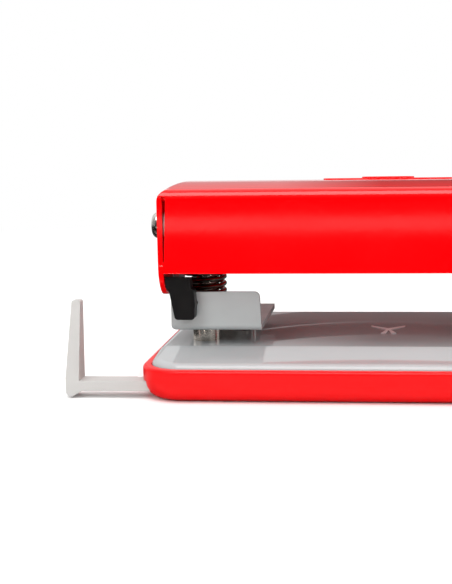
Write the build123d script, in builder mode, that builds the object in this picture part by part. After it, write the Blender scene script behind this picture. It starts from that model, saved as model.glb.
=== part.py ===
"""Two-hole paper punch, locked down, as an assembly of separate pieces.

Millimetres. +X is to the right along the length, +Y is to the back and +Z is up.
The origin is on the resting plane, under the middle of the chip tray.
The paper goes in from the front. The handle turns on two pins near its front edge,
and its back edge rises.
"""

from build123d import *
from math import cos, radians, sin
import os

# ---- the punched holes and the pins ---------------------------------------------------
hole_spacing = 80.0
pin_x = hole_spacing / 2
pin_y = -9.0
pin_radius = 2.95
running_gap = 0.05
hole_radius = pin_radius + running_gap
pin_bottom = 8.0
pin_notch = 0.6
pin_chamfer = 0.35
paper_stop_depth = 12.0

# ---- chip tray ------------------------------------------------------------------------
tray_length = 102.0
tray_depth = 67.0
tray_corner = 9.0
tray_height = 6.8
tray_bottom_round = 4.0
tray_rim_round = 0.7
tray_floor = 1.5
rim_wall = 1.7
ledge_wall = 2.8
ledge_top = 4.8

# ---- base plate -----------------------------------------------------------------------
plate_thickness = 1.2
plate_top = 9.0
plate_gap = 0.15
plate_length = tray_length - 2 * (rim_wall + plate_gap)
plate_depth = tray_depth - 2 * (rim_wall + plate_gap)
plate_corner = tray_corner - rim_wall - plate_gap
plate_roll = 1.8
plate_fold_y = -17.5
plate_front_drop = 1.3
plate_bottom = plate_top - plate_thickness
mark_arm = (3.9, 8.0)
mark_middle = 3.2
mark_leg = (1.7, -2.0)
mark_stroke = 1.1
mark_height = 0.2

# ---- brackets and paper stops ---------------------------------------------------------
slot_height = 3.2
sheet = 1.2
floor_bottom = plate_top + slot_height
floor_top = floor_bottom + sheet
bracket_outer = 46.4
bracket_inner = 27.0
bracket_front = -16.7
bracket_back = 14.5
flange_top = 20.5
flange_tip_round = 1.2
stop_front = pin_y + paper_stop_depth
stop_back = 13.5
stop_outer = 45.0
stop_inner = 30.5
rivet_radius = 1.5
rivet_head_radius = 2.5
rivet_head_height = 0.8
rivet_spots = [(-41.5, 8.3), (-33.8, 5.7), (-33.8, 10.9)]

# ---- handle pivot ---------------------------------------------------------------------
pivot_y = -16.5
pivot_z = 34.8
open_angle = 36.0
pivot_shank = 1.6
pivot_head_radius = 2.75
pivot_head_height = 1.55
pivot_clip_thickness = 0.6
ear_round = 3.1

# ---- handle ---------------------------------------------------------------------------
handle_sheet = 1.1
handle_half = 48.3
handle_front = -21.0
handle_back_side = 31.5
handle_back_middle = 36.5
handle_front_top = 42.3
handle_crest = (4.0, 43.15)
handle_back_top = 40.3
handle_corner = 9.0
handle_edge_round = 2.4
apron_bottom = 24.9
flange_bottom = 19.7
flange_front = -20.4
flange_corner = 7.0
skirt_bottom_back = 33.6
slope_start = 4.0
slit_top = 41.0
slit_bottom = 27.3
slit_top_width = 0.9
slit_bottom_width = 0.3
pad_y = 20.0
pad_steps = [(30.0, 21.0, 0.3), (12.2, 14.0, 0.65)]
pad_corner = 3.0
pusher_width = 8.0
pusher_radius = 3.0

# ---- springs and what holds them ------------------------------------------------------
bush_radius = 3.5
bush_flange_radius = 4.8
bush_flange_top = floor_top + 0.8
bush_top = 18.0
wire_radius = 0.5
coil_radius = 4.2
coil_pitch = 1.32
coil_end_gap = 0.05
spring_top = 25.6
washer_top = 26.4
clip_top = 27.2
groove_radius = 2.35
pin_top = pivot_z - pusher_radius - 0.1

# ---- latch ----------------------------------------------------------------------------
latch_front = -20.0
latch_back = bracket_front - 0.2
latch_travel = 2.4
latch_outline = [(-45.0, 15.0), (-40.9, 15.0), (-40.7, 18.2), (-40.9, 21.2), (-41.6, 21.7),
                 (-41.7, 24.6), (-46.9, 24.6), (-46.9, 21.9), (-46.2, 21.2)]
latch_corner = 0.7
stud_x = -43.9
stud_z = 18.2
stud_radius = 0.8
stud_head_radius = 1.2
stud_head_height = 0.7
stud_depth = 2.0
latch_sweep_gap = 0.33

# ---- paper guide ----------------------------------------------------------------------
bar_front = -29.0
bar_back = -24.0
bar_bottom = 1.65
bar_top = 3.65
bar_end = 34.4
arm_outer = -66.6
arm_inner = -63.8
arm_lean = 0.9
arm_top_width = 1.8
arm_top_depth = 2.2
arm_top = 20.5
guide_gap = 0.1
rib_thickness = 1.2
notch_radius = 0.55
notch_pitch = 10.0
leaf_thickness = 0.35
leaf_middle = -32.0
leaf_half = 9.0
leaf_post = (2.4, 1.6)
notch_steps = range(-2, 6)
rib_front = bar_back + guide_gap
leaf_back = rib_front + rib_thickness + leaf_thickness
leaf_tip = bar_back + notch_radius / 2 - guide_gap


def write(piece, name):
    """Label one finished piece and write its file."""
    piece.label = name
    export_step(piece, f"parts/{name}.step")


def write_pair(piece, name):
    """Write a piece made for the left side, and its mirror image for the right side."""
    write(piece, f"{name}_left")
    write(mirror(piece, about=Plane.YZ), f"{name}_right")


os.makedirs("parts", exist_ok=True)

# ---- chip tray: moulded pan that carries everything else -------------------------------
with BuildPart() as chip_tray:
    with BuildSketch():
        RectangleRounded(tray_length, tray_depth, tray_corner)
    extrude(amount=tray_height)
    fillet(chip_tray.faces().sort_by(Axis.Z)[0].edges(), tray_bottom_round)
    fillet(chip_tray.faces().sort_by(Axis.Z)[-1].edges(), tray_rim_round)
    with BuildSketch(Plane.XY.offset(tray_floor)):
        RectangleRounded(tray_length - 2 * ledge_wall, tray_depth - 2 * ledge_wall,
                         tray_corner - ledge_wall)
    extrude(amount=tray_height, mode=Mode.SUBTRACT)
    with BuildSketch(Plane.XY.offset(ledge_top)):
        RectangleRounded(tray_length - 2 * rim_wall, tray_depth - 2 * rim_wall,
                         tray_corner - rim_wall)
    extrude(amount=tray_height, mode=Mode.SUBTRACT)
    # the rib behind the guide bar, with a window for the detent leaf
    with BuildSketch(Plane.XY.offset(tray_floor)):
        with Locations((0, rib_front + rib_thickness / 2)):
            Rectangle(tray_length - 2 * ledge_wall, rib_thickness)
        with Locations((leaf_middle, rib_front + rib_thickness / 2)):
            Rectangle(leaf_half, rib_thickness, mode=Mode.SUBTRACT)
    extrude(amount=bar_top - tray_floor + 0.6)
    # two posts that back the ends of the leaf
    with BuildSketch(Plane.XY.offset(tray_floor)):
        with Locations((leaf_middle - leaf_half + 1, leaf_back),
                       (leaf_middle + leaf_half - 1, leaf_back)):
            Rectangle(*leaf_post, align=(Align.CENTER, Align.MIN))
    extrude(amount=bar_top - tray_floor)
    # the mouth where the bar leaves the left wall
    with BuildSketch(Plane.YZ.offset(-tray_length / 2 - 1)):
        with Locations(((bar_front + bar_back) / 2, (bar_bottom + bar_top) / 2)):
            Rectangle(bar_back - bar_front + 2 * guide_gap, bar_top - bar_bottom + 2 * guide_gap)
    extrude(amount=ledge_wall + 3, mode=Mode.SUBTRACT)
write(chip_tray.part, "chip_tray")

# ---- detent leaf behind the guide bar --------------------------------------------------
with BuildPart() as guide_leaf:
    with BuildSketch(Plane.XY.offset(bar_bottom)):
        with BuildLine():
            Polyline((leaf_middle - leaf_half, leaf_back), (leaf_middle - 3.2, leaf_back),
                     (leaf_middle - 0.5, leaf_tip + leaf_thickness),
                     (leaf_middle + 0.5, leaf_tip + leaf_thickness),
                     (leaf_middle + 3.2, leaf_back), (leaf_middle + leaf_half, leaf_back),
                     (leaf_middle + leaf_half, leaf_back - leaf_thickness),
                     (leaf_middle + 3.4, leaf_back - leaf_thickness),
                     (leaf_middle + 0.7, leaf_tip), (leaf_middle - 0.7, leaf_tip),
                     (leaf_middle - 3.4, leaf_back - leaf_thickness),
                     (leaf_middle - leaf_half, leaf_back - leaf_thickness), close=True)
        make_face()
    extrude(amount=bar_top - bar_bottom)
write(guide_leaf.part, "guide_leaf")

# ---- paper guide: bar, upright arm and foot in one moulding ----------------------------
with BuildPart() as paper_guide:
    with BuildSketch(Plane.XZ.offset(-bar_front)):
        with BuildLine():
            arm_top_inner = arm_inner + arm_lean
            Polyline((bar_end, bar_bottom), (bar_end, bar_top), (arm_inner, bar_top),
                     (arm_top_inner, arm_top), (arm_top_inner - arm_top_width, arm_top),
                     (arm_outer, bar_top + 0.6), (arm_outer, bar_bottom - 0.4),
                     (arm_outer + 0.4, 0.5), (arm_outer + 1.2, 0.3),
                     (arm_inner + 0.7, bar_bottom), close=True)
        make_face()
    extrude(amount=bar_front - bar_back)
    arm_top_edges = paper_guide.edges().filter_by(Axis.Y).filter_by_position(
        Axis.Z, arm_top - 0.1, arm_top + 0.1)
    fillet(arm_top_edges, 0.5)
    # the arm gets thinner from front to back towards its top
    with BuildSketch(Plane.YZ.offset(arm_outer - 1)):
        with BuildLine():
            Polyline((bar_back, bar_top + 0.2), (bar_front + arm_top_depth, arm_top + 0.1),
                     (bar_back + 1, arm_top + 0.1), (bar_back + 1, bar_top + 0.2), close=True)
        make_face()
    extrude(amount=8, mode=Mode.SUBTRACT)
    with BuildSketch(Plane.XY.offset(bar_bottom)):
        with Locations(*[(leaf_middle + notch_pitch * step, bar_back) for step in notch_steps]):
            Circle(notch_radius)
    extrude(amount=bar_top - bar_bottom, mode=Mode.SUBTRACT)
write(paper_guide.part, "paper_guide")

# ---- base plate: pressed lid with rolled edges, the two die holes and the centre mark --
with BuildPart() as base_plate:
    # flat under the brackets, then sloping down to the front from a fold line
    with BuildSketch(Plane.YZ.offset(-plate_length / 2)):
        with BuildLine():
            Polyline((-plate_depth / 2, ledge_top), (-plate_depth / 2, plate_top - plate_front_drop),
                     (plate_fold_y, plate_top), (plate_depth / 2, plate_top),
                     (plate_depth / 2, ledge_top), close=True)
        make_face()
    extrude(amount=plate_length)
    with BuildSketch(Plane.XY.offset(ledge_top)):
        RectangleRounded(plate_length, plate_depth, plate_corner)
    extrude(amount=plate_top - ledge_top, mode=Mode.INTERSECT)
    upper_faces = base_plate.faces().filter_by(lambda face: face.normal_at().Z > 0.9)
    upper_edges = upper_faces.edges().filter_by(lambda edge: abs(edge.center().Y - plate_fold_y) > 0.5)
    fillet(upper_edges, plate_roll)
    offset(amount=-plate_thickness, openings=base_plate.faces().sort_by(Axis.Z)[0])
    with BuildSketch(Plane.XY.offset(plate_top)):
        # two long arms to the back and two short legs to the front, from one middle
        for side in (-1, 1):
            with BuildLine():
                Polyline((0, mark_middle - mark_stroke), (0, mark_middle + mark_stroke),
                         (side * mark_arm[0], mark_arm[1]),
                         (side * mark_arm[0], mark_arm[1] - mark_stroke), close=True)
            make_face()
            with BuildLine():
                Polyline((0, mark_middle - mark_stroke), (0, mark_middle + mark_stroke),
                         (side * mark_leg[0], mark_leg[1]),
                         (side * (mark_leg[0] - mark_stroke), mark_leg[1]), close=True)
            make_face()
    extrude(amount=mark_height)
    with BuildSketch(Plane.XY.offset(plate_bottom)):
        with Locations((-pin_x, pin_y), (pin_x, pin_y)):
            Circle(hole_radius)
        for side in (-1, 1):
            with Locations(*[(-side * spot[0], spot[1]) for spot in rivet_spots]):
                Circle(rivet_radius)
    extrude(amount=plate_thickness, mode=Mode.SUBTRACT)
write(base_plate.part, "base_plate")

# ---- bracket: floor, front flange and the tall ear that carries the handle -------------
lean = radians(open_angle)
ear_neck_length = 11.2
neck_top = (pivot_y - ear_round * cos(lean), pivot_z - ear_round * sin(lean))
neck_bottom = (neck_top[0] + ear_neck_length * sin(lean), neck_top[1] - ear_neck_length * cos(lean))
with BuildPart() as bracket:
    with BuildSketch(Plane.XY.offset(floor_bottom)):
        with Locations((-(bracket_outer + bracket_inner) / 2, (bracket_front + bracket_back) / 2)):
            Rectangle(bracket_outer - bracket_inner, bracket_back - bracket_front)
    extrude(amount=sheet)
    with BuildSketch(Plane.XZ.offset(-bracket_front)):
        with BuildLine():
            Polyline((-bracket_outer, floor_bottom), (-bracket_inner, floor_bottom),
                     (-bracket_inner - 0.4, flange_top), (-bracket_outer, flange_top), close=True)
        make_face()
    extrude(amount=-sheet)
    with BuildSketch(Plane.YZ.offset(-bracket_outer)):
        with BuildLine():
            Polyline((bracket_front, floor_bottom), (bracket_front, flange_top),
                     (neck_bottom[0] - 0.6, flange_top + 2.2), neck_bottom, neck_top)
            ThreePointArc(neck_top, (pivot_y, pivot_z + ear_round),
                          (pivot_y + ear_round, pivot_z))
            Polyline((pivot_y + ear_round, pivot_z), (-5.0, 21.0), (7.0, 16.0),
                     (bracket_back, floor_bottom), (bracket_front, floor_bottom))
        make_face()
    extrude(amount=sheet)
    corner_edges = bracket.edges().filter_by(Axis.Y).filter_by_position(
        Axis.Z, flange_top - 0.1, flange_top + 0.1).filter_by_position(
        Axis.X, -bracket_inner - 1, -bracket_inner + 1)
    fillet(corner_edges, flange_tip_round)
    low_edges = bracket.edges().filter_by_position(Axis.Z, floor_bottom - 0.01, floor_bottom + 0.01)
    fold_edges = (low_edges.filter_by(Axis.X).sort_by(Axis.Y)[0:1]
                  + low_edges.filter_by(Axis.Y).sort_by(Axis.X)[0:1])
    fillet(fold_edges, sheet * 0.9)
    with BuildSketch(Plane.XY.offset(floor_bottom)):
        with Locations((-pin_x, pin_y)):
            Circle(bush_radius)
        with Locations(*rivet_spots):
            Circle(rivet_radius)
    extrude(amount=sheet, mode=Mode.SUBTRACT)
    with BuildSketch(Plane.YZ.offset(-bracket_outer)):
        with Locations((pivot_y, pivot_z)):
            Circle(pivot_shank)
    extrude(amount=sheet, mode=Mode.SUBTRACT)
    bracket_plain = bracket.part

# only the left bracket has the slot that the latch stud runs in
with BuildPart() as bracket_left:
    add(bracket_plain)
    slot_middle = stud_x + latch_travel / 2
    with BuildSketch(Plane.XZ.offset(-bracket_front)):
        with Locations((slot_middle, stud_z)):
            SlotCenterToCenter(latch_travel, 2 * (stud_radius + 2 * running_gap))
    extrude(amount=-sheet, mode=Mode.SUBTRACT)
write(bracket_left.part, "bracket_left")
write(mirror(bracket_plain, about=Plane.YZ), "bracket_right")

# ---- paper stop: spacer between the bracket floor and the base plate -------------------
with BuildPart() as paper_stop:
    with BuildSketch(Plane.XY.offset(plate_top)):
        with Locations((-(stop_outer + stop_inner) / 2, (stop_front + stop_back) / 2)):
            RectangleRounded(stop_outer - stop_inner, stop_back - stop_front, 1.5)
        with Locations(*rivet_spots):
            Circle(rivet_radius, mode=Mode.SUBTRACT)
    extrude(amount=slot_height)
write_pair(paper_stop.part, "paper_stop")

# ---- rivets that hold bracket, stop and plate together ---------------------------------
with BuildPart() as bracket_rivets:
    with BuildSketch(Plane.XY.offset(plate_bottom - rivet_head_height)):
        with Locations(*rivet_spots):
            Circle(rivet_head_radius)
    extrude(amount=rivet_head_height)
    with BuildSketch(Plane.XY.offset(plate_bottom)):
        with Locations(*rivet_spots):
            Circle(rivet_radius)
    extrude(amount=floor_top - plate_bottom)
    with BuildSketch(Plane.XY.offset(floor_top)):
        with Locations(*rivet_spots):
            Circle(rivet_head_radius)
    extrude(amount=rivet_head_height)
    crown = bracket_rivets.faces().filter_by_position(
        Axis.Z, floor_top + rivet_head_height - 0.01, floor_top + rivet_head_height + 0.01)
    fillet(crown.edges(), rivet_head_height * 0.85)
write_pair(bracket_rivets.part, "bracket_rivets")

# ---- guide bush: sleeve that keeps the pin upright and seats the spring ----------------
with BuildPart() as guide_bush:
    with BuildSketch(Plane.XY.offset(floor_bottom)):
        with Locations((-pin_x, pin_y)):
            Circle(bush_radius)
    extrude(amount=bush_top - floor_bottom)
    with BuildSketch(Plane.XY.offset(floor_top)):
        with Locations((-pin_x, pin_y)):
            Circle(bush_flange_radius)
    extrude(amount=bush_flange_top - floor_top)
    with BuildSketch(Plane.XY.offset(floor_bottom)):
        with Locations((-pin_x, pin_y)):
            Circle(hole_radius)
    extrude(amount=bush_top - floor_bottom, mode=Mode.SUBTRACT)
write_pair(guide_bush.part, "guide_bush")

# ---- punch pin: ground rod with a cutting notch and a clip groove ----------------------
with BuildPart() as punch_pin:
    with BuildSketch(Plane.XY.offset(pin_bottom)):
        with Locations((-pin_x, pin_y)):
            Circle(pin_radius)
    extrude(amount=pin_top - pin_bottom)
    chamfer(punch_pin.faces().sort_by(Axis.Z)[-1].edges(), pin_chamfer)
    with BuildSketch(Plane.XZ.offset(-pin_y + 4)):
        with BuildLine():
            Polyline((-pin_x - pin_radius - 0.5, pin_bottom), (-pin_x + pin_radius + 0.5, pin_bottom),
                     (-pin_x, pin_bottom + pin_notch), close=True)
        make_face()
    extrude(amount=-8, mode=Mode.SUBTRACT)
    with BuildSketch(Plane.XY.offset(washer_top)):
        with Locations((-pin_x, pin_y)):
            Circle(pin_radius + 1)
            Circle(groove_radius, mode=Mode.SUBTRACT)
    extrude(amount=clip_top - washer_top, mode=Mode.SUBTRACT)
write_pair(punch_pin.part, "punch_pin")

# ---- spring washer and retaining clip on the pin ---------------------------------------
with BuildPart() as spring_washer:
    with BuildSketch(Plane.XY.offset(spring_top)):
        with Locations((-pin_x, pin_y)):
            Circle(bush_flange_radius)
            Circle(pin_radius, mode=Mode.SUBTRACT)
    extrude(amount=washer_top - spring_top)
write_pair(spring_washer.part, "spring_washer")

with BuildPart() as retaining_clip:
    with BuildSketch(Plane.XY.offset(washer_top)):
        with Locations((-pin_x, pin_y)):
            Circle(bush_flange_radius - 0.6)
            Circle(groove_radius, mode=Mode.SUBTRACT)
        with Locations((-pin_x, pin_y + bush_flange_radius / 2)):
            Rectangle(2 * groove_radius - 1.2, bush_flange_radius, mode=Mode.SUBTRACT)
    extrude(amount=clip_top - washer_top)
write_pair(retaining_clip.part, "retaining_clip")

# ---- return spring, compressed ---------------------------------------------------------
coil_start = bush_flange_top + wire_radius + coil_end_gap
coil_height = spring_top - wire_radius - coil_end_gap - coil_start
with BuildPart() as return_spring:
    with BuildLine() as coil:
        Helix(coil_pitch, coil_height, coil_radius, center=(-pin_x, pin_y, coil_start))
    with BuildSketch(Plane(origin=coil.line @ 0, z_dir=coil.line % 0)):
        Circle(wire_radius)
    sweep(is_frenet=True)
write_pair(return_spring.part, "return_spring")

# ---- pivot pin, washer and clip of the handle ------------------------------------------
pivot_seat = handle_half + running_gap
pivot_end = bracket_outer - sheet - 1.3
with BuildPart() as pivot_pin:
    with BuildSketch(Plane.YZ.offset(-pivot_seat - pivot_head_height)):
        with Locations((pivot_y, pivot_z)):
            Circle(pivot_head_radius)
    extrude(amount=pivot_head_height)
    fillet(pivot_pin.faces().sort_by(Axis.X)[0].edges(), pivot_head_height * 0.8)
    with BuildSketch(Plane.YZ.offset(-pivot_seat)):
        with Locations((pivot_y, pivot_z)):
            Circle(pivot_shank)
    extrude(amount=pivot_seat - pivot_end)
write_pair(pivot_pin.part, "pivot_pin")

with BuildPart() as pivot_washer:
    with BuildSketch(Plane.YZ.offset(-handle_half + handle_sheet + running_gap)):
        with Locations((pivot_y, pivot_z)):
            Circle(ear_round - 0.1)
            Circle(pivot_shank, mode=Mode.SUBTRACT)
    extrude(amount=handle_half - handle_sheet - running_gap - bracket_outer)
write_pair(pivot_washer.part, "pivot_washer")

with BuildPart() as pivot_clip:
    with BuildSketch(Plane.YZ.offset(-bracket_outer + sheet)):
        with Locations((pivot_y, pivot_z)):
            Circle(ear_round - 0.2)
            Circle(pivot_shank, mode=Mode.SUBTRACT)
        with Locations((pivot_y + 2, pivot_z)):
            Rectangle(4, 1.6, mode=Mode.SUBTRACT)
    extrude(amount=pivot_clip_thickness)
write_pair(pivot_clip.part, "pivot_clip")


# ---- handle ----------------------------------------------------------------------------
def handle_blank(inset, edge_round, raise_top=0.0):
    """A solid block with the handle's outline, drawn in by the inset on every side."""
    front = handle_front + inset
    front_z = handle_front_top - inset + raise_top
    crest_z = handle_crest[1] - inset + raise_top
    back_z = handle_back_top - inset + raise_top
    far_back = handle_back_middle + 2
    with BuildPart() as blank:
        with BuildSketch(Plane.YZ.offset(-handle_half + inset)):
            with BuildLine():
                Line((front, flange_bottom - 5), (front, front_z))
                ThreePointArc((front, front_z), (handle_crest[0], crest_z), (far_back, back_z))
                Polyline((far_back, back_z), (far_back, flange_bottom - 5),
                         (front, flange_bottom - 5))
            make_face()
        extrude(amount=2 * (handle_half - inset))
        with BuildSketch():
            with BuildLine():
                side_x = handle_half - inset
                back_y = handle_back_side - inset
                Polyline((side_x, back_y), (side_x, front), (-side_x, front), (-side_x, back_y))
                ThreePointArc((-side_x, back_y), (0, handle_back_middle - inset), (side_x, back_y))
            make_face()
            back_corners = vertices().sort_by(Axis.Y)[2:4]
            fillet(back_corners, handle_corner - inset)
        extrude(amount=60, mode=Mode.INTERSECT)
        top_face = blank.faces().filter_by(GeomType.CYLINDER).sort_by(Axis.Z)[-1]
        fillet(top_face.edges(), edge_round)
    return blank.part


handle_solid = handle_blank(0, handle_edge_round)
handle_cavity = handle_blank(handle_sheet, handle_edge_round - handle_sheet)

# the stepped palm pad, pressed up in the middle of the back
palm_steps = []
for pad_width, pad_depth, pad_raise in pad_steps:
    with BuildPart() as palm_step:
        add(handle_blank(0, handle_edge_round, pad_raise))
        with BuildSketch():
            with Locations((0, pad_y)):
                RectangleRounded(pad_width, pad_depth, pad_corner)
        extrude(amount=60, mode=Mode.INTERSECT)
    palm_steps.append(palm_step.part)

with BuildPart() as handle:
    add(handle_solid)
    add(palm_steps)
    add(handle_cavity, mode=Mode.SUBTRACT)
    # lower outline of the side flanges, rising to a short lip at the back
    with BuildSketch(Plane.YZ.offset(-handle_half - 1)):
        with BuildLine():
            Polyline((handle_front - 2, 0), (handle_front - 2, flange_bottom),
                     (slope_start, flange_bottom), (handle_back_side, skirt_bottom_back),
                     (handle_back_middle + 2, skirt_bottom_back), (handle_back_middle + 2, 0),
                     close=True)
        make_face()
    extrude(amount=2 * handle_half + 2, mode=Mode.SUBTRACT)
    # the apron stops higher than the flanges
    inner_half = handle_half - handle_sheet
    with BuildSketch():
        with Locations((0, handle_front)):
            Rectangle(2 * inner_half, handle_sheet, align=(Align.CENTER, Align.MIN))
    extrude(amount=apron_bottom, mode=Mode.SUBTRACT)
    for side in (-1, 1):
        # the front edge of each flange stands back from the apron's face
        with BuildSketch():
            with Locations((side * (inner_half + 1), handle_front)):
                Rectangle(2, flange_front - handle_front, align=(Align.CENTER, Align.MIN))
        extrude(amount=slit_top, mode=Mode.SUBTRACT)
        # a slit parts it from the apron and narrows towards its closed lower end
        with BuildSketch(Plane.XZ.offset(-handle_front)):
            with BuildLine():
                Polyline((side * inner_half, slit_bottom), (side * inner_half, slit_top),
                         (side * (inner_half - slit_top_width), slit_top),
                         (side * (inner_half - slit_bottom_width), slit_bottom), close=True)
            make_face()
        extrude(amount=-handle_sheet, mode=Mode.SUBTRACT)
    # the round lower front corner of each flange
    for first_x in (-handle_half - 1, inner_half):
        corner_y = flange_front + flange_corner
        corner_z = flange_bottom + flange_corner
        with BuildSketch(Plane.YZ.offset(first_x)):
            with BuildLine():
                Polyline((corner_y, flange_bottom), (corner_y, flange_bottom - 1),
                         (flange_front - 1, flange_bottom - 1), (flange_front - 1, corner_z),
                         (flange_front, corner_z))
                RadiusArc((flange_front, corner_z), (corner_y, flange_bottom), -flange_corner)
            make_face()
        extrude(amount=handle_sheet + 1, mode=Mode.SUBTRACT)
    # pivot holes
    with BuildSketch(Plane.YZ.offset(-handle_half - 1)):
        with Locations((pivot_y, pivot_z)):
            Circle(pivot_shank + running_gap)
    extrude(amount=2 * handle_half + 2, mode=Mode.SUBTRACT)
write(handle.part, "handle")

# ---- pusher under the handle: a pressed steel block with a round nose ------------------
with BuildPart() as pusher:
    with BuildSketch(Plane.YZ.offset(-pin_x - pusher_width / 2)):
        with Locations((pin_y, pivot_z)):
            Circle(pusher_radius)
        with Locations((pin_y, pivot_z + 5)):
            Rectangle(2 * pusher_radius, 10)
    extrude(amount=pusher_width)
    add(handle_cavity, mode=Mode.INTERSECT)
write_pair(pusher.part, "pusher")

# ---- lock latch and its stud -----------------------------------------------------------
with BuildPart() as lock_latch:
    with BuildSketch(Plane.XZ.offset(-latch_front)):
        with BuildLine():
            Polyline(*latch_outline, close=True)
        make_face()
    extrude(amount=latch_front - latch_back)
    with BuildSketch(Plane.YZ.offset(-handle_half)):
        with Locations((pivot_y, pivot_z)):
            apron_reach = ((apron_bottom - pivot_z) ** 2 + (handle_front - pivot_y) ** 2) ** 0.5
            Circle(apron_reach + latch_sweep_gap)
    extrude(amount=12, mode=Mode.SUBTRACT)
    latch_bottom = latch_outline[0][1]
    low_corners = lock_latch.edges().filter_by(Axis.Y).filter_by_position(
        Axis.Z, latch_bottom - 0.1, latch_bottom + 0.1)
    fillet(low_corners, latch_corner)
    with BuildSketch(Plane.XZ.offset(-latch_back)):
        with Locations((stud_x, stud_z)):
            Circle(stud_radius)
    extrude(amount=stud_depth, mode=Mode.SUBTRACT)
write(lock_latch.part, "lock_latch")

stud_head_front = bracket_front + sheet + running_gap
with BuildPart() as latch_stud:
    with BuildSketch(Plane.XZ.offset(-latch_back + stud_depth)):
        with Locations((stud_x, stud_z)):
            Circle(stud_radius)
    extrude(amount=-(stud_head_front - latch_back + stud_depth))
    with BuildSketch(Plane.XZ.offset(-stud_head_front)):
        with Locations((stud_x, stud_z)):
            Circle(stud_head_radius)
    extrude(amount=-stud_head_height)
write(latch_stud.part, "latch_stud")
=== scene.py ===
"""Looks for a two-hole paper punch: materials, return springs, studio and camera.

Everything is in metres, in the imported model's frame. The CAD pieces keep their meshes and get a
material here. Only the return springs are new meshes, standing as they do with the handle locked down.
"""

import math

import bmesh
import bpy
from mathutils import Matrix, Vector


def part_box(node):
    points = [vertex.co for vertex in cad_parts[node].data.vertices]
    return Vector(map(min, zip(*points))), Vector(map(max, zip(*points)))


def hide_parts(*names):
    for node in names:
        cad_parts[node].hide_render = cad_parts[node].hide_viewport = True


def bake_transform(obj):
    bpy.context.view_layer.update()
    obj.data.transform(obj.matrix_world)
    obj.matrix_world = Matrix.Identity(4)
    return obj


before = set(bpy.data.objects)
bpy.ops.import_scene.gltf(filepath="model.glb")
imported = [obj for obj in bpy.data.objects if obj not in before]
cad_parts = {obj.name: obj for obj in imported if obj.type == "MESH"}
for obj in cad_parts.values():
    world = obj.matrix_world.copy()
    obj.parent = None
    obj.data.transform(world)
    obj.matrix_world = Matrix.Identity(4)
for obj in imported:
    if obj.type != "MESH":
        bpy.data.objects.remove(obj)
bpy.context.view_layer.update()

MM = 0.001
SIDES = ("left", "right")
WHITE = (1.0, 1.0, 1.0)

# materials
NO_STRETCH = (1.0, 1.0, 1.0)
NOISE_LOW = 0.3
NOISE_HIGH = 0.7
BEVEL_SAMPLES = 6
LEAST_ROUGHNESS = 0.02

# a Mix node's colour sockets share their names with its other sockets, so they go by number
MIX_FIRST = 6
MIX_SECOND = 7
MIX_RESULT = 2

# return springs, as they stand while the handle is locked down
SPRING_HEIGHT = 11.3 * MM
COIL_RADIUS = 4.2 * MM
WIRE_RADIUS = 0.5 * MM
COIL_TURNS = 8
STEPS_PER_TURN = 40
WIRE_SIDES = 12
CLOSED_RISE = 0.72 * MM
CLOSED_SHARE = CLOSED_RISE / SPRING_HEIGHT

# floor: paper near the object, glowing white further out
FLOOR_REACH = 4.0
GLOW_STARTS = 0.16
GLOW_FULL = 0.45

# dark cards behind, mirrored by the base plate
FLAG_HALF = 42 * MM
FLAG_RISE = 3 * MM
FLAG_PLACE = 120 * MM
FLAG_STEPS = 24
FLAG_COLOUR = (0.020, 0.010, 0.008)
FLAGS = (
    # name, lower edge, upper edge
    ("dark_flag_low", 21.8 * MM, 26.2 * MM),
    ("dark_flag_high", 26.5 * MM, 30.8 * MM),
)

# flat cards; one below 0 is still mirrored, because the floor is left out of reflections
PINK_WHITE = (1.0, 0.95, 0.95)
WARM_WHITE = (1.0, 0.95, 0.88)
CARDS = (
    # name, left (X, Y), right (X, Y), lower edge, upper edge, colour, strength, fade
    ("dim_flag", (-0.30, 0.36), (0.30, 0.36), 0.060, 0.145, PINK_WHITE, 0.42, (-0.055, 0.0, 0.10)),
    ("pale_strip", (-0.5, -0.45), (0.5, -0.45), -0.0025, 0.0055, WHITE, 1.1, None),
    ("pin_strip_left", (-0.165, -0.60), (-0.125, -0.60), -0.125, -0.078, WARM_WHITE, 9.0, None),
    ("pin_strip_right", (0.40, -0.42), (0.47, -0.33), -0.135, -0.060, WARM_WHITE, 9.0, None),
)

LIGHTS_AIM = Vector((0.0, 0.0, 0.02))
LIGHTS = (
    # name, place, width, height, watts, seen in reflections
    ("softbox_above", (0.0, -0.38, 0.95), 0.9, 0.6, 7.6, True),
    ("softbox_front_left", (-0.55, -0.95, 0.62), 0.6, 0.5, 5.6, False),
    ("softbox_front_right", (0.60, -0.95, 0.55), 0.6, 0.5, 4.6, False),
    ("softbox_behind", (0.1, 0.9, 0.75), 0.8, 0.4, 3.0, False),
)

# camera
CAMERA_PLACE = Vector((-2.21, -255.85, 53.71)) * MM
CAMERA_YAW = math.radians(5.62)
CAMERA_PITCH = math.radians(-7.87)
CAMERA_ROLL = math.radians(-0.80)
CAMERA_LENS = 70.63
SENSOR_WIDTH = 36.0
IMAGE_HEIGHT = 584
SHIFT_PIXELS = -41
CLIP_START = 0.01
CLIP_END = 20.0


# ---- node trees ----

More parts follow.
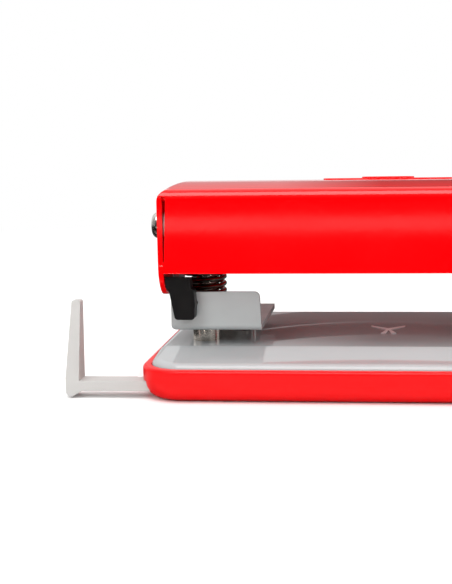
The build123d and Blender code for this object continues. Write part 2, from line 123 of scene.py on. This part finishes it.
class Tree:
    """A node tree under construction."""

    def __init__(self, tree):
        self.tree = tree

    def add(self, kind, **values):
        node = self.tree.nodes.new(kind)
        for key, value in values.items():
            setattr(node, key, value)
        return node

    def link(self, source, target):
        self.tree.links.new(source, target)

    def axes(self, coordinates):
        """The X, Y and Z of one of the texture coordinates."""
        place = self.add("ShaderNodeTexCoord")
        split = self.add("ShaderNodeSeparateXYZ")
        self.link(place.outputs[coordinates], split.inputs["Vector"])
        return split.outputs

    def math(self, operation, *sources):
        node = self.add("ShaderNodeMath", operation=operation)
        for socket, source in zip(node.inputs, sources):
            self.link(source, socket)
        return node.outputs["Value"]

    def remap(self, source, low, high, source_low=NOISE_LOW, source_high=NOISE_HIGH, curve="LINEAR"):
        """Carries the source's range over to low and high, and holds it there beyond the ends."""
        ranged = self.add("ShaderNodeMapRange", interpolation_type=curve)
        ranged.inputs["From Min"].default_value = source_low
        ranged.inputs["From Max"].default_value = source_high
        ranged.inputs["To Min"].default_value = low
        ranged.inputs["To Max"].default_value = high
        self.link(source, ranged.inputs["Value"])
        return ranged.outputs["Result"]

    def mix_shaders(self, factor, first, second):
        mix = self.add("ShaderNodeMixShader")
        self.link(factor, mix.inputs["Fac"])
        self.link(first, mix.inputs[1])
        self.link(second, mix.inputs[2])
        return mix.outputs["Shader"]


class Finish(Tree):
    """A material under construction: its shader and a few ways to add detail."""

    def __init__(self, name, colour, roughness, metallic=0.0, specular=0.5):
        self.material = bpy.data.materials.new(name)
        self.material.use_nodes = True
        super().__init__(self.material.node_tree)
        self.shader = self.tree.nodes["Principled BSDF"]
        self.shader.inputs["Base Color"].default_value = (*colour, 1.0)
        self.shader.inputs["Roughness"].default_value = roughness
        self.shader.inputs["Metallic"].default_value = metallic
        self.shader.inputs["Specular IOR Level"].default_value = specular
        self.colour = colour
        self.roughness = roughness
        self.base = None
        self.normal = None

    def noise(self, size, detail=2.0, stretch=NO_STRETCH):
        """Noise with features of about the given size in metres, fixed to the piece."""
        place = self.add("ShaderNodeTexCoord")
        mapping = self.add("ShaderNodeMapping")
        mapping.inputs["Scale"].default_value = [factor / size for factor in stretch]
        self.link(place.outputs["Object"], mapping.inputs["Vector"])
        texture = self.add("ShaderNodeTexNoise")
        texture.inputs["Scale"].default_value = 1.0
        texture.inputs["Detail"].default_value = detail
        self.link(mapping.outputs["Vector"], texture.inputs["Vector"])
        return texture.outputs["Fac"]

    def mix_colour(self, factor, first, second):
        """Mixes two colours; each is a triple or another node's output."""
        mix = self.add("ShaderNodeMix", data_type="RGBA")
        self.link(factor, mix.inputs["Factor"])
        for number, colour in ((MIX_FIRST, first), (MIX_SECOND, second)):
            if isinstance(colour, tuple):
                mix.inputs[number].default_value = (*colour, 1.0)
            else:
                self.link(colour, mix.inputs[number])
        return mix.outputs[MIX_RESULT]

    def set_base(self, colour):
        self.base = colour
        self.link(colour, self.shader.inputs["Base Color"])

    def set_roughness(self, roughness):
        self.link(roughness, self.shader.inputs["Roughness"])

    def set_normal(self, normal):
        self.normal = normal
        self.link(normal, self.shader.inputs["Normal"])

    def show(self, shader):
        """Puts a shader on the surface in place of the first one."""
        self.link(shader, self.tree.nodes["Material Output"].inputs["Surface"])

    def vary_colour(self, size, amount, detail=3.0):
        """Slow light and dark patches in the base colour."""
        dark = tuple(channel * (1 - amount) for channel in self.colour)
        light = tuple(min(1.0, channel * (1 + amount)) for channel in self.colour)
        patches = self.remap(self.noise(size, detail), 0.0, 1.0)
        self.set_base(self.mix_colour(patches, dark, light))

    def vary_roughness(self, size, amount, stretch=NO_STRETCH):
        patches = self.noise(size, 4.0, stretch)
        low = max(LEAST_ROUGHNESS, self.roughness - amount)
        self.set_roughness(self.remap(patches, low, self.roughness + amount))

    def rounded_normal(self, radius):
        bevel = self.add("ShaderNodeBevel", samples=BEVEL_SAMPLES)
        bevel.inputs["Radius"].default_value = radius
        return bevel.outputs["Normal"]

    def round_edges(self, radius):
        """Softens the shading across sharp edges, as a rolled or moulded edge does."""
        self.set_normal(self.rounded_normal(radius))

    def edge_mask(self, radius, gain):
        """Above 0 along sharp edges and 0 on flat faces, broken up by noise."""
        surface = self.add("ShaderNodeNewGeometry")
        agreement = self.add("ShaderNodeVectorMath", operation="DOT_PRODUCT")
        self.link(self.rounded_normal(radius), agreement.inputs[0])
        self.link(surface.outputs["Normal"], agreement.inputs[1])
        bend = self.remap(agreement.outputs["Value"], 0.0, 1.0, 1.0, 1.0 - gain)
        chips = self.remap(self.noise(0.9 * MM, 4.0), 0.0, 1.0, 0.42, 0.62)
        return self.math("MULTIPLY", bend, chips)

    def bump(self, height, depth):
        node = self.add("ShaderNodeBump")
        node.inputs["Strength"].default_value = 1.0
        node.inputs["Distance"].default_value = depth
        self.link(height, node.inputs["Height"])
        if self.normal is not None:
            self.link(self.normal, node.inputs["Normal"])
        self.set_normal(node.outputs["Normal"])


# ---- the object's materials ----

def red_enamel():
    """Sprayed and baked red enamel on pressed steel, with a faint orange peel."""
    finish = Finish("red_enamel", (0.88, 0.0004, 0.0016), 0.06, specular=0.45)
    finish.vary_colour(9 * MM, 0.02)
    finish.vary_roughness(14 * MM, 0.012)
    finish.round_edges(0.25 * MM)
    finish.bump(finish.noise(1.6 * MM, 1.0), 0.0022 * MM)
    return finish.material


def red_tray_plastic():
    """Moulded red plastic with a fine satin grain."""
    finish = Finish("red_tray_plastic", (0.80, 0.0004, 0.0018), 0.34, specular=0.32)
    finish.vary_colour(12 * MM, 0.008, 1.0)
    finish.vary_roughness(9 * MM, 0.012)
    finish.bump(finish.noise(0.35 * MM, 1.0), 0.0020 * MM)
    return finish.material


def grey_plate_enamel(mark_level):
    """Glossy pale grey enamel; the middle mark, raised above the level, is matt and paler."""
    finish = Finish("grey_plate_enamel", (0.40, 0.415, 0.42), 0.02)
    finish.vary_colour(10 * MM, 0.02)
    blur = 0.02 * MM
    on_mark = finish.remap(finish.axes("Object")["Z"], 0.0, 1.0, mark_level - blur, mark_level + blur)
    finish.set_base(finish.mix_colour(on_mark, finish.base, (0.56, 0.54, 0.54)))
    finish.set_roughness(finish.remap(on_mark, finish.roughness, 0.50, 0.0, 1.0))
    finish.bump(finish.noise(2.6 * MM, 1.0), 0.0007 * MM)
    return finish.material


def grey_bracket_enamel():
    """A slightly darker grey on thicker sheet: less glossy, and thin on its sheared edges."""
    finish = Finish("grey_bracket_enamel", (0.37, 0.385, 0.385), 0.20)
    finish.vary_colour(6 * MM, 0.03)
    worn = finish.edge_mask(0.12 * MM, 0.5)
    finish.set_base(finish.mix_colour(worn, finish.base, (0.30, 0.30, 0.295)))
    finish.vary_roughness(4 * MM, 0.05)
    finish.round_edges(0.16 * MM)
    finish.bump(finish.noise(0.7 * MM, 2.0), 0.003 * MM)
    return finish.material


def grey_guide_plastic():
    """Pale grey moulded plastic with a fine spark-eroded grain."""
    finish = Finish("grey_guide_plastic", (0.49, 0.48, 0.465), 0.42)
    finish.vary_colour(11 * MM, 0.025)
    finish.vary_roughness(4 * MM, 0.05)
    finish.round_edges(0.22 * MM)
    finish.bump(finish.noise(0.20 * MM, 3.0), 0.008 * MM)
    return finish.material


def black_latch_plastic():
    """Black moulded plastic with a slightly finer grain than the guide's."""
    finish = Finish("black_latch_plastic", (0.0050, 0.0046, 0.0050), 0.38, specular=0.40)
    finish.vary_colour(3 * MM, 0.12)
    finish.vary_roughness(2 * MM, 0.06)
    finish.round_edges(0.25 * MM)
    finish.bump(finish.noise(0.16 * MM, 3.0), 0.008 * MM)
    return finish.material


def tooled_steel(name, stretch, colour=(0.66, 0.61, 0.56), roughness=0.20):
    """Bright steel with fine tool lines; stretch is largest across the lines."""
    finish = Finish(name, colour, roughness, metallic=1.0)
    finish.vary_colour(2.5 * MM, 0.05)
    finish.vary_roughness(1.2 * MM, 0.06, stretch)
    finish.round_edges(0.10 * MM)
    finish.bump(finish.noise(1.2 * MM, 3.0, stretch), 0.004 * MM)
    return finish.material


def spring_wire():
    """Dark, glossy drawn wire."""
    finish = Finish("spring_wire", (0.14, 0.11, 0.09), 0.16, metallic=1.0)
    finish.vary_colour(1.5 * MM, 0.15)
    finish.vary_roughness(0.8 * MM, 0.05)
    finish.bump(finish.noise(0.3 * MM, 1.0), 0.002 * MM)
    return finish.material


def blued_clip_steel():
    """Hardened clip steel, darkened by its heat treatment."""
    finish = Finish("blued_clip_steel", (0.20, 0.19, 0.185), 0.30, metallic=1.0)
    finish.vary_colour(1.8 * MM, 0.10)
    finish.vary_roughness(1.0 * MM, 0.08)
    finish.round_edges(0.08 * MM)
    finish.bump(finish.noise(0.25 * MM, 2.0), 0.004 * MM)
    return finish.material


def white_washer_nylon():
    """Undyed nylon, a little yellow."""
    finish = Finish("white_washer_nylon", (0.78, 0.77, 0.73), 0.40)
    finish.vary_colour(2 * MM, 0.03)
    finish.round_edges(0.10 * MM)
    finish.bump(finish.noise(0.2 * MM, 2.0), 0.005 * MM)
    return finish.material


def dress_nodes():
    """Puts a material on every CAD node that stays in view."""
    mark_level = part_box("base_plate")[1].z - 0.08 * MM
    bracket = grey_bracket_enamel()
    ground = tooled_steel("ground_pin_steel", (1.0, 1.0, 14.0), (0.80, 0.73, 0.65), 0.22)
    turned = tooled_steel("turned_steel", (1.0, 1.0, 8.0))
    pressed = tooled_steel("pressed_steel", (8.0, 1.0, 1.0), (0.60, 0.58, 0.56), 0.24)
    faced = tooled_steel("faced_rivet_steel", (1.0, 9.0, 9.0), (0.72, 0.69, 0.64), 0.24)
    clip = blued_clip_steel()
    nylon = white_washer_nylon()
    finishes = {
        "handle": red_enamel(),
        "chip_tray": red_tray_plastic(),
        "base_plate": grey_plate_enamel(mark_level),
        "lock_latch": black_latch_plastic(),
        "latch_stud": turned,
        "paper_guide": grey_guide_plastic(),
        "guide_leaf": clip,
    }
    paired_finishes = {
        "bracket": bracket,
        "paper_stop": pressed,
        "bracket_rivets": turned,
        "guide_bush": turned,
        "pivot_pin": faced,
        "pivot_washer": nylon,
        "pivot_clip": clip,
        "pusher": pressed,
        "punch_pin": ground,
        "spring_washer": pressed,
        "retaining_clip": clip,
    }
    for side in SIDES:
        for name, material in paired_finishes.items():
            finishes[name + "_" + side] = material
    for name, material in finishes.items():
        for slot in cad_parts[name].material_slots:
            slot.material = material


# ---- objects ----

def add_object(name, data):
    made = bpy.data.objects.new(name, data)
    bpy.context.collection.objects.link(made)
    return made


# ---- return springs ----

def climb_share(share):
    """The wire's height as a share of its climb: close turns at both ends, open ones between."""
    end_turn = 1 / COIL_TURNS
    if share < end_turn:
        return CLOSED_SHARE * share / end_turn
    if share > 1 - end_turn:
        return 1 - CLOSED_SHARE * (1 - share) / end_turn
    return CLOSED_SHARE + (1 - 2 * CLOSED_SHARE) * (share - end_turn) / (1 - 2 * end_turn)


def build_spring(side, wire_material):
    """A coil in the CAD spring's place, as it stands while the handle is locked down."""
    low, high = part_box("return_spring_" + side)
    centre = (low + high) / 2
    bottom = low.z
    top = high.z
    climb = top - bottom - 2 * WIRE_RADIUS
    work = bmesh.new()
    rings = []
    count = COIL_TURNS * STEPS_PER_TURN
    for step in range(count + 1):
        share = step / count
        angle = 2 * math.pi * COIL_TURNS * share
        height = bottom + WIRE_RADIUS + climb * climb_share(share)
        out = Vector((math.cos(angle), math.sin(angle), 0))
        heart = Vector((centre.x, centre.y, height)) + out * COIL_RADIUS
        ring = []
        for corner in range(WIRE_SIDES):
            turn = 2 * math.pi * corner / WIRE_SIDES
            up = Vector((0, 0, WIRE_RADIUS * math.sin(turn)))
            ring.append(work.verts.new(heart + out * (WIRE_RADIUS * math.cos(turn)) + up))
        rings.append(ring)
    for ring, following in zip(rings, rings[1:]):
        for corner in range(WIRE_SIDES):
            beside = (corner + 1) % WIRE_SIDES
            work.faces.new((ring[corner], following[corner], following[beside], ring[beside]))
    work.faces.new(rings[0])
    work.faces.new(reversed(rings[-1]))
    bmesh.ops.recalc_face_normals(work, faces=work.faces)
    for face in work.faces:
        face.smooth = len(face.verts) == 4
    mesh = bpy.data.meshes.new("spring_coil_" + side)
    work.to_mesh(mesh)
    work.free()
    mesh.materials.append(wire_material)
    spring = add_object("spring_coil_" + side, mesh)
    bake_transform(spring)
    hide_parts("return_spring_" + side)


# ---- studio ----

def staged_mesh(name, points, faces, material):
    mesh = bpy.data.meshes.new(name)
    mesh.from_pydata(points, [], faces)
    mesh.materials.append(material)
    card = add_object(name, mesh)
    return card


def sheet(name, corners, material):
    """A flat four-cornered card from its corners, in order round it."""
    return staged_mesh(name, corners, [(0, 1, 2, 3)], material)


def floor_material():
    """Pale matt paper that turns into an even white glow well away from the object."""
    finish = Finish("studio_floor", (0.90, 0.90, 0.895), 0.7, specular=0.2)
    finish.vary_colour(0.25, 0.006)
    place = finish.add("ShaderNodeTexCoord")
    reach = finish.add("ShaderNodeVectorMath", operation="LENGTH")
    finish.link(place.outputs["Object"], reach.inputs[0])
    far = finish.remap(reach.outputs["Value"], 0.0, 1.0, GLOW_STARTS, GLOW_FULL)
    glow = finish.add("ShaderNodeEmission")
    finish.show(finish.mix_shaders(far, finish.shader.outputs["BSDF"], glow.outputs["Emission"]))
    return finish.material


def glow_material(name, colour, strength, fade=None):
    """An even glow. With fade=(first X, second X, strength there) it changes between the two."""
    finish = Finish(name, (0.0, 0.0, 0.0), 1.0, specular=0.0)
    glow = finish.add("ShaderNodeEmission")
    glow.inputs["Color"].default_value = (*colour, 1.0)
    glow.inputs["Strength"].default_value = strength
    if fade:
        first, second, end_strength = fade
        level = finish.remap(finish.axes("Object")["X"], strength, end_strength, first, second)
        finish.link(level, glow.inputs["Strength"])
    finish.show(glow.outputs["Emission"])
    return finish.material


def build_floor():
    corners = [(x * FLOOR_REACH, y * FLOOR_REACH, 0) for x, y in ((-1, -1), (1, -1), (1, 1), (-1, 1))]
    floor = sheet("floor", corners, floor_material())
    floor.visible_glossy = False


def only_in_reflections(card):
    card.visible_camera = False
    card.visible_diffuse = False
    card.visible_shadow = False
    card.visible_transmission = False


def arched_flag(name, low, high):
    """A dark strip behind with its ends turned up, which the flat plate mirrors as an arch."""
    points = []
    for step in range(FLAG_STEPS + 1):
        across = 2 * step / FLAG_STEPS - 1
        rise = FLAG_RISE * across ** 2
        points.append((across * FLAG_HALF, FLAG_PLACE, low + rise))
        points.append((across * FLAG_HALF, FLAG_PLACE, high + rise))
    faces = [(2 * step, 2 * step + 2, 2 * step + 3, 2 * step + 1) for step in range(FLAG_STEPS)]
    only_in_reflections(staged_mesh(name, points, faces, glow_material(name + "_face", FLAG_COLOUR, 1.0)))


def upright_card(name, left, right, low, high, material):
    """A card over two places on the ground, from one height to another."""
    corners = ((*left, low), (*right, low), (*right, high), (*left, high))
    only_in_reflections(sheet(name, corners, material))


def build_cards():
    """Dark flags behind for the plate to mirror, and pale strips in front for paint and steel."""
    for name, low, high in FLAGS:
        arched_flag(name, low, high)
    for name, left, right, low, high, colour, strength, fade in CARDS:
        upright_card(name, left, right, low, high, glow_material(name + "_face", colour, strength, fade))


def build_lights():
    for name, place, width, height, watts, in_reflections in LIGHTS:
        data = bpy.data.lights.new(name, "AREA")
        data.shape = "RECTANGLE"
        data.size = width
        data.size_y = height
        data.energy = watts
        light = add_object(name, data)
        aim = LIGHTS_AIM - Vector(place)
        turn = aim.to_track_quat("-Z", "Y").to_matrix().to_4x4()
        light.matrix_world = Matrix.Translation(place) @ turn
        light.visible_glossy = in_reflections


def build_world():
    """White to the camera. To the object: pale behind, dimmer at the sides, dark in front and
    below, and brighter overhead."""
    world = bpy.data.worlds.new("studio")
    bpy.context.scene.world = world
    world.use_nodes = True
    world.node_tree.nodes.clear()
    studio = Tree(world.node_tree)
    direction = studio.axes("Generated")
    aside = studio.math("ABSOLUTE", direction["X"])
    back = studio.remap(direction["Y"], 0.02, 0.82, -0.25, 0.55, "SMOOTHSTEP")
    sides = studio.remap(aside, 0.0, 0.36, 0.40, 0.80, "SMOOTHSTEP")
    above_ground = studio.remap(direction["Z"], 0.06, 1.0, -0.12, 0.04, "SMOOTHSTEP")
    overhead = studio.remap(direction["Z"], 0.0, 0.35, 0.25, 0.95, "SMOOTHSTEP")
    walls = studio.math("MULTIPLY", studio.math("MAXIMUM", back, sides), above_ground)
    room = studio.add("ShaderNodeBackground")
    room.inputs["Color"].default_value = (*WHITE, 1.0)
    studio.link(studio.math("ADD", walls, overhead), room.inputs["Strength"])
    backdrop = studio.add("ShaderNodeBackground")
    backdrop.inputs["Color"].default_value = (*WHITE, 1.0)
    backdrop.inputs["Strength"].default_value = 1.0
    from_camera = studio.add("ShaderNodeLightPath").outputs["Is Camera Ray"]
    seen = studio.mix_shaders(from_camera, room.outputs["Background"], backdrop.outputs["Background"])
    studio.link(seen, studio.add("ShaderNodeOutputWorld").inputs["Surface"])


def build_camera():
    data = bpy.data.cameras.new("camera")
    data.lens = CAMERA_LENS
    data.sensor_width = SENSOR_WIDTH
    data.shift_x = SHIFT_PIXELS / IMAGE_HEIGHT
    data.clip_start = CLIP_START
    data.clip_end = CLIP_END
    camera = add_object("camera", data)
    turn = Matrix.Rotation(CAMERA_YAW, 4, "Z")
    tilt = Matrix.Rotation(math.pi / 2 + CAMERA_PITCH, 4, "X")
    roll = Matrix.Rotation(CAMERA_ROLL, 4, "Z")
    camera.matrix_world = Matrix.Translation(CAMERA_PLACE) @ turn @ tilt @ roll
    bpy.context.scene.camera = camera


dress_nodes()
wire = spring_wire()
for side in SIDES:
    build_spring(side, wire)
build_floor()
build_cards()
build_lights()
build_world()
build_camera()
bpy.context.scene.view_settings.view_transform = "Standard"
